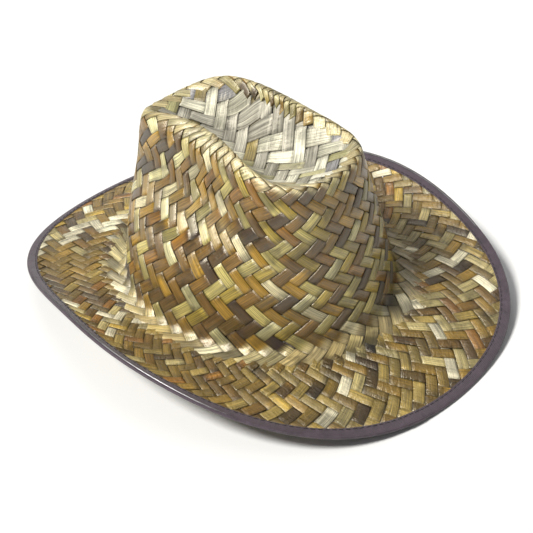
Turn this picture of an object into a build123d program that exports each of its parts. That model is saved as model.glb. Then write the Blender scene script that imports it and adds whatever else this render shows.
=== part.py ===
from build123d import *
import os
from functools import lru_cache
from math import cos, degrees, exp, pi, radians, sin, sqrt

# Woven straw cowboy hat with a dented tear-drop crown and a rolled, taped brim.
# Millimetres, +Z up, the wearer faces -Y.  The hat stands on the front and back
# of its brim; the origin is below the middle of its outline, on the surface.
# Around the hat, an angle runs from +X (the wearer's left) towards +Y (the back).

# ---- Driving dimensions -------------------------------------------------------
RING_POINTS = 48            # points that carry each closed ring spline
ANGLE_STEP = 0.5            # degrees each way, for a ring's direction

# Brim outline, as the radius of the taped edge: a mean and its harmonics
EDGE_MEAN = 157.7
EDGE_LENGTHEN = 18.05       # longer front to back than side to side
EDGE_SQUARE = -0.76         # fourth harmonic
EDGE_FRONT_POINT = 3.58     # third harmonic: the front is longer than the back
EDGE_WAVE = 1.42            # sixth harmonic
SIDE_RISE = 34.5            # the sides stand this much higher than front and back
REAR_LOW = 0.115            # the back half rises a little less than the front half
CURL_POWER = 1.75           # the brim leaves the crown level and curls towards its edge
LIP_RISE = 2.6              # the outermost part turns up this much more at the sides
LIP_START = 0.82            # share of the brim's run where that begins
BRIM_STEPS = 10
STAND_HEIGHT = 1.42         # height of the brim's middle layer where the hat stands

# Woven straw
CROWN_WALL = 1.6
BRIM_WALL = 1.4
SEAM_GAP = 0.02             # crown foot above the brim's margin

# Crown foot and crest
FOOT_HALF_LENGTH = 96.4
FOOT_HALF_WIDTH = 86.1
FOOT_HEIGHT = 18.3
CENTRE_Y = 3.59             # the angles are about this point, so that the outline is centred
CREST_HALF_LENGTH = 77.5
CREST_HALF_WIDTH = 49.7
CREST_FORWARD = 5.0         # the crest's middle lies this far in front of the foot's
CREST_TAPER = 0.13          # narrower in front
CREST_WAIST = 0.34          # pinched in halfway along
CREST_HEIGHT = 127.2
CREST_SIDE_RISE = 7.2       # the crest's sides above its ends
CREST_NOD = -3.4            # back lower than front
CREST_WAVE = -2.7
LEAN = 0.64                 # share of the foot-to-crest step taken by the straight lean
LEAN_BACK = 0.24
LEAN_ENDS = 0.12
ROUNDING = 6.2              # power of the shoulder's rounding; lower is rounder
ROUNDING_BACK = 2.3
DENT_DEPTH = 15.5           # a dent on each side, in front of the middle
DENT_ANGLE = -9.0
DENT_SPREAD = 45.5          # degrees each way
DENT_HEIGHT = 0.72          # share of the crown's height
DENT_TALL = 0.24
DISH_DEPTH = 26.0
DISH_BACK = 10.0            # the dish's lowest point lies behind the crest's middle

DISH_FLOOR = 0.10           # the level floor's size, as a share of the crest's outline
WALL_SAMPLES = 60
DISH_SAMPLES = 40
SIDE_RINGS = 19             # rings from the foot to the crest, evenly apart
TOP_RINGS = 9               # rings from the crest to the dish's floor, evenly apart

# Wire, ferrule and cloth tape at the brim's edge
WIRE_RADIUS = 0.4
FERRULE_RADIUS = 0.64
FERRULE_LENGTH = 12.0
FERRULE_CLEARANCE = 0.02
WIRE_END_GAP = 0.6
WIRE_OUT = 0.85             # wire's centre beyond the straw's cut edge
TAPE_THICK = 0.40
TAPE_WIDTH = 5.4            # from the straw's cut edge back to the tape's inner edge
TAPE_CLEARANCE = 0.05
BEAD_START = 100.0          # degrees of bead above and below the sheet
BEAD_STEPS = 5
LAP_ANGLE = 75.0            # the tape's ends lap here
LAP_LENGTH = 13.0

# Threads
THREAD_WIDTH = 0.6
THREAD_THICK = 0.3
STITCH_INSET = 1.3          # from the tape's inner edge
SEAM_CLEARANCE = 0.03

# Sweatband
BAND_HEIGHT = 30.0
BAND_THICK = 1.1
BAND_CLEARANCE = 0.5
BAND_STEPS = 6
BAND_OPENING = 2.0          # gap between the band's ends at the back
BAND_FOOT = 1.0             # the band's lower edge above the crown's foot
JOIN_WIDTH = 14.0
JOIN_THICK = 0.9
BAND_SEAM_HEIGHT = 4.0
JOIN_SEAMS = (-4.5, 4.5)

BACK = 90.0


# ---- Hat surfaces -------------------------------------------------------------
def edge_radius(angle):
    """Plan radius of the finished brim edge."""
    a = radians(angle)
    radius = EDGE_MEAN - EDGE_LENGTHEN * cos(2 * a) + EDGE_SQUARE * cos(4 * a)
    return radius + EDGE_FRONT_POINT * sin(3 * a) + EDGE_WAVE * cos(6 * a)


def edge_height(angle):
    """Height of the brim's middle layer at its edge."""
    a = radians(angle)
    return STAND_HEIGHT + SIDE_RISE * cos(a) ** 2 * (1 - REAR_LOW * sin(a))


def foot_point(angle, inward=0.0):
    """Point on the crown's foot oval, in plan."""
    a = radians(angle)
    x = (FOOT_HALF_WIDTH - inward) * cos(a)
    y = (FOOT_HALF_LENGTH - inward) * sin(a) + CENTRE_Y
    return x, y


def crest_point(angle):
    """Point on the ridge around the crown's dish."""
    a = radians(angle)
    width = CREST_HALF_WIDTH * (1 + CREST_TAPER * sin(a) - CREST_WAIST * cos(2 * a))
    y = CENTRE_Y - CREST_FORWARD + CREST_HALF_LENGTH * sin(a)
    z = CREST_HEIGHT + CREST_SIDE_RISE * cos(2 * a) + CREST_NOD * sin(a) + CREST_WAVE * sin(3 * a)
    return Vector(width * cos(a), y, z)


def dent(angle, level):
    """How far the front corners of the crown are pushed in."""
    total = 0.0
    for middle in (DENT_ANGLE, -180.0 - DENT_ANGLE):
        away = (angle - middle + 180.0) % 360.0 - 180.0
        total += exp(-abs(away / DENT_SPREAD) ** 3)
    return DENT_DEPTH * total * exp(-((level - DENT_HEIGHT) / DENT_TALL) ** 2)


def wall_point(angle, level):
    """Outer face of the crown's wall, from level 0 at the foot to 1 at the crest."""
    a = radians(angle)
    crest = crest_point(angle)
    x, y = foot_point(angle)
    foot_z = FOOT_HEIGHT + SEAM_GAP
    lean = LEAN + LEAN_BACK * sin(a) - LEAN_ENDS * cos(2 * a)
    power = ROUNDING + ROUNDING_BACK * sin(a)
    share = (1 - lean * level) * sqrt(max(0.0, 1 - level ** power))
    outward = Vector(cos(a) / FOOT_HALF_WIDTH, sin(a) / FOOT_HALF_LENGTH, 0).normalized()
    flat = Vector(crest.X + (x - crest.X) * share, crest.Y + (y - crest.Y) * share, 0)
    flat = flat - outward * dent(angle, level)
    return Vector(flat.X, flat.Y, foot_z + (crest.Z - foot_z) * level)


def dish_point(angle, inward):
    """Outer face of the sunken top, from 0 at the crest to 1 at the floor's rim."""
    crest = crest_point(angle)
    size = 1 - (1 - DISH_FLOOR) * inward
    depth = (1 - (1 - inward) ** 2) ** 1.5
    middle_y = CENTRE_Y - CREST_FORWARD + DISH_BACK
    floor_z = CREST_HEIGHT - DISH_DEPTH
    return Vector(crest.X * size, middle_y + (crest.Y - middle_y) * size,
                  crest.Z + (floor_z - crest.Z) * depth)


def brim_point(angle, run, lift=0.0):
    """Middle layer of the brim, from run 0 at the crown to 1 at the straw's edge,
    moved by lift across the sheet."""
    a = radians(angle)
    x0, y0 = foot_point(angle, CROWN_WALL)
    straw_radius = edge_radius(angle) - WIRE_OUT - FERRULE_RADIUS - TAPE_CLEARANCE - TAPE_THICK
    x1, y1 = straw_radius * cos(a), straw_radius * sin(a) + CENTRE_Y
    z0 = FOOT_HEIGHT - BRIM_WALL / 2
    lip = LIP_RISE * cos(a) ** 2
    rise = edge_height(angle) - z0 - lip
    turn = max(0.0, run - LIP_START) / (1 - LIP_START)
    across = Vector(x1 - x0, y1 - y0, 0)
    slope = rise * CURL_POWER * run ** (CURL_POWER - 1) + lip * 2 * turn / (1 - LIP_START)
    slope = slope / across.length
    along = across.normalized()
    upward = Vector(-slope * along.X, -slope * along.Y, 1).normalized()
    height = rise * run ** CURL_POWER + lip * turn ** 2
    centre = Vector(x0, y0, z0) + across * run + Vector(0, 0, height)
    outward = Vector(along.X, along.Y, slope).normalized()
    return centre + upward * lift, outward, upward


# ---- Ring solids --------------------------------------------------------------
def ring(place):
    """Closed ring through place(angle)."""
    points = [place(360.0 * k / RING_POINTS) for k in range(RING_POINTS)]
    evenly = [k / RING_POINTS for k in range(RING_POINTS + 1)]
    return Wire([Edge.make_spline(points, periodic=True, parameters=evenly)])


def ring_solid(strips, lids=()):
    """Closed solid from strips of rings, each beginning on another's end, and level lids."""
    faces = [Face(ring(place)) for place in lids]
    for strip in strips:
        rings = [ring(place) for place in strip]
        faces += Shell.make_loft(rings, ruled=len(rings) == 2).faces()
    sewn = Face.sew_faces(faces)[0]
    solid = Solid(Shell(sewn))
    if solid.volume < 0:
        solid = Solid(Shell([-face for face in sewn]))
    return solid


# ---- Crown --------------------------------------------------------------------
def evenly_spaced(points, count):
    """Points evenly spaced along a polyline."""
    reach = [0.0]
    for first, second in zip(points, points[1:]):
        reach.append(reach[-1] + (second - first).length)
    section = []
    k = 0
    for number in range(count):
        target = reach[-1] * number / (count - 1)
        while k < len(points) - 2 and reach[k + 1] < target:
            k += 1
        share = (target - reach[k]) / (reach[k + 1] - reach[k])
        section.append(points[k] + (points[k + 1] - points[k]) * share)
    return section


@lru_cache(maxsize=None)
def side_profile(angle):
    """Section of the wall's outer face, foot to crest."""
    levels = [sin(pi / 2 * k / WALL_SAMPLES) for k in range(WALL_SAMPLES + 1)]
    return evenly_spaced([wall_point(angle, level) for level in levels], SIDE_RINGS)


@lru_cache(maxsize=None)
def top_profile(angle):
    """Section of the dish's outer face, crest to level floor."""
    points = [dish_point(angle, k / DISH_SAMPLES) for k in range(DISH_SAMPLES + 1)]
    return evenly_spaced(points, TOP_RINGS)


def crown_place(profile, step, depth):
    """Ring number step of a profile, moved into the straw by depth."""
    def place(angle):
        section = profile(angle)
        here = section[step]
        if step == len(section) - 1 or (step == 0 and profile is top_profile):
            return here - Vector(0, 0, depth)
        around = profile(angle + ANGLE_STEP)[step] - profile(angle - ANGLE_STEP)[step]
        upward = Vector(0, 0, 1) if step == 0 else section[step + 1] - section[step - 1]
        return here - around.cross(upward).normalized() * depth
    return place


def make_crown_side():
    """Wall from the foot to the crest."""
    outer = [crown_place(side_profile, k, 0.0) for k in range(SIDE_RINGS)]
    inner = [crown_place(side_profile, k, CROWN_WALL) for k in reversed(range(SIDE_RINGS))]
    return ring_solid([outer, [outer[-1], inner[0]], inner, [inner[-1], outer[0]]])


def make_crown_top():
    """Sunken top inside the crest."""
    outer = [crown_place(top_profile, k, 0.0) for k in range(TOP_RINGS)]
    inner = [crown_place(top_profile, k, CROWN_WALL) for k in range(TOP_RINGS)]
    return ring_solid([outer, inner, [outer[0], inner[0]]], lids=(outer[-1], inner[-1]))


# ---- Brim ---------------------------------------------------------------------
def brim_ring(run, lift):
    return lambda angle: brim_point(angle, run, lift)[0]


def make_brim():
    runs = [k / BRIM_STEPS for k in range(BRIM_STEPS + 1)]
    top = [brim_ring(run, BRIM_WALL / 2) for run in runs]
    under = [brim_ring(run, -BRIM_WALL / 2) for run in reversed(runs)]
    return ring_solid([top, [top[-1], under[0]], under, [under[-1], top[0]]])


# ---- Edge: wire, ferrule, tape ------------------------------------------------
def edge_ring(out, lift):
    """Ring beside the straw's cut edge, out along the sheet and lift across it."""
    def place(angle):
        centre, outward, upward = brim_point(angle, 1.0)
        return centre + outward * out + upward * lift
    return place


def edge_frame(angle):
    """Plane on the wire, its x along the wire, its z across the brim."""
    middle = edge_ring(WIRE_OUT, 0)
    along = middle(angle + ANGLE_STEP) - middle(angle - ANGLE_STEP)
    return Plane(middle(angle), x_dir=along.normalized(), z_dir=brim_point(angle, 1.0)[2])


def edge_tube(radius):
    """Round bar that follows the wire all the way around."""
    quarter = 4
    places = []
    for k in range(4 * quarter + 1):
        turn = pi / 2 * k / quarter
        places.append(edge_ring(WIRE_OUT + radius * cos(turn), radius * sin(turn)))
    return ring_solid([places[i:i + quarter + 1] for i in range(0, 4 * quarter, quarter)])


def make_wire():
    gap = edge_frame(BACK) * Box(WIRE_END_GAP, 4 * WIRE_RADIUS, 4 * WIRE_RADIUS)
    return edge_tube(WIRE_RADIUS) - gap


def make_ferrule():
    sleeve = edge_tube(FERRULE_RADIUS) - edge_tube(WIRE_RADIUS + FERRULE_CLEARANCE)
    return sleeve & (edge_frame(BACK) * Box(FERRULE_LENGTH, 4 * FERRULE_RADIUS, 4 * FERRULE_RADIUS))


def tape_flat(skin):
    """Flat part of the folded tape's half section, (out, lift), moved outward by skin."""
    lift = BRIM_WALL / 2 + TAPE_CLEARANCE + skin
    return [(-TAPE_WIDTH * share, lift) for share in (1, 0.75, 0.5, 0.25)]


def tape_bead(skin):
    """Round part of the half section, over the wire to the outermost point."""
    bead = FERRULE_RADIUS + TAPE_CLEARANCE + skin
    turns = [radians(BEAD_START * (1 - k / BEAD_STEPS)) for k in range(BEAD_STEPS + 1)]
    return [(WIRE_OUT + bead * cos(turn), bead * sin(turn)) for turn in turns]


def tape_ring(point, side=1):
    """Ring of the tape; back from the edge it follows the brim's curve."""
    out, lift = point
    if out > 0:
        return edge_ring(out, lift * side)

    def place(angle):
        x0, y0 = foot_point(angle, CROWN_WALL)
        straw = brim_point(angle, 1.0)[0]
        width = sqrt((straw.X - x0) ** 2 + (straw.Y - y0) ** 2)
        return brim_point(angle, 1 + out / width, lift * side)[0]
    return place


def tape_skin(skin):
    """Strips over the tape's face, from the upper inner edge to the lower."""
    flat, bead = tape_flat(skin), tape_bead(skin)
    top = [tape_ring(point) for point in flat]
    crown = [tape_ring(point) for point in bead]
    keel = [tape_ring(point, -1) for point in reversed(bead)]
    under = [tape_ring(point, -1) for point in reversed(flat)]
    keel[0] = crown[-1]
    return [top, [top[-1], crown[0]], crown, keel, [keel[-1], under[0]], under]


def tape_solid(inner, outer):
    """Folded tape between two skins."""
    inside, outside = tape_skin(inner), tape_skin(outer)
    back = [strip[::-1] for strip in reversed(inside)]
    return ring_solid(outside + [[outside[-1][-1], back[0][0]]] + back + [[back[-1][-1], outside[0][0]]])


def lap_block():
    """Block around the stretch where the tape is double."""
    reach = 3 * TAPE_WIDTH
    return edge_frame(LAP_ANGLE) * Box(LAP_LENGTH, reach, reach)


def make_tape():
    lap = tape_solid(TAPE_THICK, 2 * TAPE_THICK)
    return tape_solid(0.0, TAPE_THICK) + (lap & lap_block())


# ---- Threads ------------------------------------------------------------------
def thread_solid(corners):
    """Continuous flat thread through four corner rings."""
    loop = corners + corners[:1]
    return ring_solid([list(pair) for pair in zip(loop, loop[1:])])


def make_tape_thread(side):
    """One thread of the tape's seam, side 1 on top and -1 underneath."""
    out = STITCH_INSET - TAPE_WIDTH
    low = BRIM_WALL / 2 + TAPE_CLEARANCE + TAPE_THICK + SEAM_CLEARANCE
    half = THREAD_WIDTH / 2
    section = ((out - half, low), (out + half, low),
               (out + half, low + THREAD_THICK), (out - half, low + THREAD_THICK))
    return thread_solid([tape_ring(corner, side) for corner in section]) - lap_block()


# ---- Sweatband ----------------------------------------------------------------
def band_ring(height, depth):
    """Ring inside the crown's wall at a height above its foot."""
    level = (height - SEAM_GAP) / (CREST_HEIGHT - FOOT_HEIGHT)

    def place(angle):
        around = wall_point(angle + ANGLE_STEP, level) - wall_point(angle - ANGLE_STEP, level)
        upward = wall_point(angle, level + 0.01) - wall_point(angle, level)
        here = wall_point(angle, level)
        return here - around.cross(upward).normalized() * depth
    return place


def band_solid(depth, thick):
    """Band between two depths inside the crown's outer face."""
    heights = [BAND_FOOT + BAND_HEIGHT * k / (BAND_STEPS - 1) for k in range(BAND_STEPS)]
    outer = [band_ring(height, depth) for height in heights]
    inner = [band_ring(height, depth + thick) for height in reversed(heights)]
    return ring_solid([outer, [outer[-1], inner[0]], inner, [inner[-1], outer[0]]])


def back_block(width):
    """Tall block around the middle of the back."""
    tall = 4 * BAND_HEIGHT
    return Pos(0, FOOT_HALF_LENGTH + CENTRE_Y, FOOT_HEIGHT) * Box(width, tall, tall)


def make_band():
    return band_solid(CROWN_WALL + BAND_CLEARANCE, BAND_THICK) - back_block(BAND_OPENING)


def make_join():
    depth = CROWN_WALL + BAND_CLEARANCE + BAND_THICK + SEAM_CLEARANCE
    return band_solid(depth, JOIN_THICK) & back_block(JOIN_WIDTH)


def make_band_thread():
    """Seam along the band's foot, on its inner face."""
    depth = CROWN_WALL + BAND_CLEARANCE + BAND_THICK + SEAM_CLEARANCE
    low, high = BAND_SEAM_HEIGHT - THREAD_WIDTH / 2, BAND_SEAM_HEIGHT + THREAD_WIDTH / 2
    section = ((low, depth), (high, depth), (high, depth + THREAD_THICK), (low, depth + THREAD_THICK))
    seam = thread_solid([band_ring(height, inward) for height, inward in section])
    return seam - back_block(JOIN_WIDTH + 2 * THREAD_WIDTH)


def make_join_threads():
    """Two upright seams on the tab."""
    depth = CROWN_WALL + BAND_CLEARANCE + BAND_THICK + 2 * SEAM_CLEARANCE + JOIN_THICK
    layer = band_solid(depth, THREAD_THICK)
    rows = [Pos(x, 0, 0) * back_block(THREAD_WIDTH) for x in JOIN_SEAMS]
    return Compound([layer & row for row in rows])


# ---- Write every piece --------------------------------------------------------
PIECES = {
    "crown_side": make_crown_side,
    "crown_top": make_crown_top,
    "brim": make_brim,
    "brim_wire": make_wire,
    "wire_ferrule": make_ferrule,
    "edge_binding": make_tape,
    "binding_thread_top": lambda: make_tape_thread(1),
    "binding_thread_under": lambda: make_tape_thread(-1),
    "sweatband": make_band,
    "sweatband_join": make_join,
    "sweatband_thread": make_band_thread,
    "join_threads": make_join_threads,
}

os.makedirs("parts", exist_ok=True)
for name, make in PIECES.items():
    export_step(make(), f"parts/{name}.step")
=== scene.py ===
import math
import random
import bmesh
import bpy
import numpy as np
from mathutils import Matrix, Vector
from mathutils.bvhtree import BVHTree


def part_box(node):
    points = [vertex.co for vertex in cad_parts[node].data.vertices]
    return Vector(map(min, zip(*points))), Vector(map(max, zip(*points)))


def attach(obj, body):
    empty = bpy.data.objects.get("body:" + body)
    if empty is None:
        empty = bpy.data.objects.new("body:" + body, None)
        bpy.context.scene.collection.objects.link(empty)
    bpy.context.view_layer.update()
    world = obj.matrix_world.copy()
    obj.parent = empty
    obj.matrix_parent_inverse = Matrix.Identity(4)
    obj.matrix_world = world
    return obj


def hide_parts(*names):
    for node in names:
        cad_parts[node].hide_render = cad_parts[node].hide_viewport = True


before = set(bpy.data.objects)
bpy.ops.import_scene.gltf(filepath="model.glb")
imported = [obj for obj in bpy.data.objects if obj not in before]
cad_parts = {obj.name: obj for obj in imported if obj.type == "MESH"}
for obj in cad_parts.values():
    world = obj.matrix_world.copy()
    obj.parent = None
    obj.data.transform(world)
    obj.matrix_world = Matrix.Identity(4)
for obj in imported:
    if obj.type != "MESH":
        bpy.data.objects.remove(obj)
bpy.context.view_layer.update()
MM = 0.001
random.seed(7)

# ---- Driving sizes, metres ----------------------------------------------------
SECTIONS = 192              # sections of the hat around its axis
FOOT_STRIPS = 46            # strips of each lean around the crown
BRIM_STRIPS = 88            # strips of each lean around the brim
CROWN_STRIP_WIDTH = 7.9 * MM        # at the foot
BRIM_STRIP_WIDTH = 7.6 * MM         # at the edge
TOP_STRIP_WIDTH = 8.2 * MM
STRIP_THICK = 0.36 * MM
WEAVE_RISE = 0.38 * MM      # a strip's middle above or below the sheet's middle
WALL_MIDDLE = 0.7 * MM      # the weave's middle layer lies this far under the CAD's outer face
STITCH_PITCH = 4.3 * MM
STITCH_LENGTH = 3.1 * MM
CAST_FROM = 0.4             # rays start this far out


# ---- Reading the CAD shape ----------------------------------------------------
def tree_of(*nodes):
    """Search tree of CAD nodes' meshes."""
    points, faces = [], []
    for node_name in nodes:
        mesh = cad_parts[node_name].data
        base = len(points)
        points += [v.co.copy() for v in mesh.vertices]
        faces += [tuple(base + k for k in p.vertices) for p in mesh.polygons]
    return BVHTree.FromPolygons(points, faces)


CROWN_TREE = tree_of("crown_side", "crown_top")
BRIM_TREE = tree_of("brim")
CROWN_LOW, CROWN_HIGH = [Vector(corner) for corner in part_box("crown_side")]
CENTRE = Vector(((CROWN_LOW.x + CROWN_HIGH.x) / 2, (CROWN_LOW.y + CROWN_HIGH.y) / 2, 0))
FOOT_Z = CROWN_LOW.z


def drop(tree, x, y):
    """Height of the upper face under a point, or None."""
    hit = tree.ray_cast(Vector((x, y, CAST_FROM)), Vector((0, 0, -1)))[0]
    return None if hit is None else hit.z


def wall_radius(angle, z):
    """Distance of the crown's outer face from its axis."""
    way = Vector((math.cos(angle), math.sin(angle), 0))
    start = Vector((CENTRE.x, CENTRE.y, z)) + way * CAST_FROM
    hit = CROWN_TREE.ray_cast(start, -way)[0]
    return None if hit is None else CAST_FROM - (hit - start).length


def brim_reach(angle):
    """Radius of the straw's outer edge."""
    near, far = 0.10, 0.20
    for _ in range(22):
        middle = (near + far) / 2
        x = CENTRE.x + middle * math.cos(angle)
        y = CENTRE.y + middle * math.sin(angle)
        if drop(BRIM_TREE, x, y) is None:
            far = middle
        else:
            near = middle
    return near


def smooth_ring(values, keep):
    """Values around the hat with only their first few harmonics."""
    wave = np.fft.rfft(values, axis=0)
    wave[keep:] = 0
    return np.fft.irfft(wave, n=len(values), axis=0)


def even_foot_angles():
    """Angles that divide the crown's foot into equal lengths."""
    fine = np.linspace(0, 2 * math.pi, 1441)
    radius = np.array([wall_radius(a, FOOT_Z + MM) for a in fine])
    points = np.stack([radius * np.cos(fine), radius * np.sin(fine)], axis=1)
    reach = np.concatenate([[0], np.cumsum(np.linalg.norm(np.diff(points, axis=0), axis=1))])
    return np.interp(np.arange(SECTIONS) / SECTIONS * reach[-1], reach, fine), reach[-1]


ANGLES, FOOT_LENGTH = even_foot_angles()
BRIM_SAMPLES = 40           # rays along each part of a section
WALL_SAMPLES = 70
CREST_SAMPLES = 140
TOP_SAMPLES = 60
BRIM_ROWS = 36              # grid rows from the straw's edge to the foot
CROWN_ROWS = 80             # grid rows from the foot to the crest
DISH_ROWS = 24              # grid rows from the crest inward
DISH_REACH = 26 * MM        # the grid ends this far over the crest
EDGE_MARGIN = 0.3 * MM      # and starts this far inside the straw's edge
WALL_END = 3.5 * MM         # the wall is read from the side up to here under the crest
RING_HARMONICS = 40
FOOT_ROUNDING = 5


def resample(points, count):
    """Points evenly spaced along a polyline."""
    reach = np.concatenate([[0], np.cumsum(np.linalg.norm(np.diff(points, axis=0), axis=1))])
    at = np.linspace(0, reach[-1], count)
    return np.stack([np.interp(at, reach, points[:, k]) for k in range(2)], axis=1)


def section(angle):
    """Radius and height along one half section, straw edge to foot to crest to dish."""
    way = np.array([math.cos(angle), math.sin(angle)])

    def top_at(radius):
        z = drop(CROWN_TREE, CENTRE.x + radius * way[0], CENTRE.y + radius * way[1])
        return -1.0 if z is None else z

    foot = wall_radius(angle, FOOT_Z + MM)
    edge = brim_reach(angle) - EDGE_MARGIN
    brim = []
    for radius in np.linspace(edge, foot + MM, BRIM_SAMPLES):
        brim.append((radius, drop(BRIM_TREE, CENTRE.x + radius * way[0], CENTRE.y + radius * way[1])))
    radii = np.linspace(0.5 * MM, foot, CREST_SAMPLES)
    tops = np.array([top_at(radius) for radius in radii])
    crest = radii[int(np.argmax(tops))]
    crest_z = float(tops.max())
    split = crest_z - WALL_END
    wall = [(wall_radius(angle, z), z) for z in np.linspace(FOOT_Z + 2 * MM, split, WALL_SAMPLES)]
    over = [(radius, top_at(radius)) for radius in np.linspace(wall[-1][0] - 0.4 * MM, crest, 12)]
    dish = []
    reach, last = 0.0, over[-1]
    for radius in np.linspace(crest, 1.0 * MM, TOP_SAMPLES)[1:]:
        here = (radius, top_at(radius))
        reach += math.dist(here, last)
        dish.append(here)
        last = here
        if reach > DISH_REACH:
            break
    return np.array(brim), np.array(wall + over), np.array([over[-1]] + dish)


def build_grid():
    """Grid of points over the hat: rows from the straw's edge to inside the dish."""
    rows = []
    for angle in ANGLES:
        brim, wall, dish = section(angle)
        brim = np.vstack([brim, wall[:1]])
        parts = []
        for points, count in ((brim, BRIM_ROWS + 1), (wall, CROWN_ROWS + 1), (dish, DISH_ROWS + 1)):
            parts.append(resample(points, count))
        rows.append(np.vstack([parts[0][:-1], parts[1][:-1], parts[2]]))
    grid = np.array(rows)                                  # section, row, (radius, z)
    grid = smooth_ring(grid, RING_HARMONICS)
    soft = grid.copy()
    for _ in range(FOOT_ROUNDING):                         # rounds the bend at the foot
        soft[:, 1:-1] = 0.25 * soft[:, :-2] + 0.5 * soft[:, 1:-1] + 0.25 * soft[:, 2:]
    x = CENTRE.x + soft[:, :, 0] * np.cos(ANGLES)[:, None]
    y = CENTRE.y + soft[:, :, 0] * np.sin(ANGLES)[:, None]
    return np.stack([x, y, soft[:, :, 1]], axis=2)


GRID = build_grid()
ROW_COUNT = GRID.shape[1]
AROUND = np.roll(GRID, -1, axis=0) - np.roll(GRID, 1, axis=0)
UPWARD = np.gradient(GRID, axis=1)
NORMAL = np.cross(AROUND, UPWARD)
NORMAL /= np.linalg.norm(NORMAL, axis=2, keepdims=True)
STEP_LENGTH = np.linalg.norm(np.diff(GRID, axis=1), axis=2).mean(axis=0)
ROW_REACH = np.concatenate([[0], np.cumsum(STEP_LENGTH)])   # mean distance along the section
ROW_REACH -= ROW_REACH[BRIM_ROWS]                           # zero at the crown's foot
RING_LENGTH = np.linalg.norm(np.roll(GRID, -1, axis=0) - GRID, axis=2).sum(axis=0)


def unit(vectors):
    """Rows scaled to length one."""
    return vectors / np.linalg.norm(vectors, axis=1, keepdims=True)


# ---- Woven strips -------------------------------------------------------------
SECTION_ACROSS = (-0.50, -0.465, 0.0, 0.465, 0.50, 0.46, -0.46)   # share of the width
SECTION_LIFT = (-0.20, 0.44, 0.50, 0.44, -0.20, -0.50, -0.50)     # share of the thickness
SECTION_SMOOTH = (False, True, True, False, False, True, False)   # the strip's cut edges are crisp
STEPS_PER_CELL = 6
TURN_SHARE = 0.26           # share of a cell in which a strip passes up or down
STRIP_SHARE = 0.95          # a strip's width as a share of its spacing
ARCH = 0.05 * MM            # a strip bulges this much where it is on top
TILT = 0.16                 # and its edges rise or fall by up to this many millimetres
TUCK = 0.8 * MM             # a strip's end dives up to this far under the other weave
END_SHADE = 0.58            # how much darker a strip is painted where it passes under, a painted shade
FOOT_SHADE = 0.45           # and along the crown's foot, a painted shade where the wall meets the brim
STAIN_SHADE = 0.72          # and in the middle of a water mark
FLOAT_SHADE = 0.46          # spread of the colour from float to float
ZONE_SHADE = 0.16           # and over wide zones
JITTER = 0.03               # a strip's place and line wander by this share of its spacing


def look_up(table, turn, row):
    """Bilinear values of a grid table at arrays of turn (0 to 1) and row."""
    u = np.mod(turn, 1.0) * SECTIONS
    i = u.astype(int) % SECTIONS
    j = np.clip(row.astype(int), 0, ROW_COUNT - 2)
    fu = (u - np.floor(u))[:, None]
    fv = np.clip(row - j, 0.0, 1.0)[:, None]
    k = (i + 1) % SECTIONS
    low = table[i, j] * (1 - fu) + table[k, j] * fu
    high = table[i, j + 1] * (1 - fu) + table[k, j + 1] * fu
    return low * (1 - fv) + high * fv


def srgb(code, tint=(1, 1, 1)):
    """Linear colour from a hex code whose red, green and blue are first multiplied by a tint."""
    values = [round(int(code[k:k + 2], 16) * share) / 255 for k, share in zip((0, 2, 4), tint)]
    return np.array([v / 12.92 if v < 0.04045 else ((v + 0.055) / 1.055) ** 2.4 for v in values])


STRAW_TINT = (0.985, 1.02, 1.08)    # the palettes' codes look a little too warm as they are
SIDE_COLOURS = [(srgb(code, STRAW_TINT), weight) for code, weight in (
    ("8A661C", 22), ("6A4A10", 16), ("9A8030", 14), ("4E360A", 12), ("A29050", 14),
    ("B8AA74", 8), ("3A2A0E", 6), ("7E541A", 5), ("C4B284", 4))]
BRIM_COLOURS = [(srgb(code, STRAW_TINT), weight) for code, weight in (
    ("846424", 26), ("725822", 18), ("967C3C", 16), ("624616", 14), ("A6925C", 10),
    ("84561C", 5), ("D8C8A0", 7), ("B08C34", 4), ("44320F", 6))]
TOP_COLOURS = [(srgb(code, STRAW_TINT), weight) for code, weight in (
    ("BCB296", 26), ("A89E88", 20), ("CCC2A6", 16), ("9C9260", 14), ("8C7844", 10),
    ("BC9C2C", 7), ("86807C", 7))]
# Pale cream: painted as a highlight over the upward-facing crest, and mixed into the crown's strips where
# they lie on the brim
PALE_CREAM = srgb("E2D6A6")
# Dark water marks on the brim: share of a turn, grid rows out from the foot, radius
STAINS = ((0.224, 6, 5.8 * MM), (0.203, 7, 4.0 * MM), (0.281, 5, 7.0 * MM), (0.286, 2, 5.0 * MM))


def pick(palette, chance):
    """A colour from a weighted palette."""
    colours, weights = zip(*palette)
    return colours[chance.choices(range(len(colours)), weights)[0]].copy()


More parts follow.
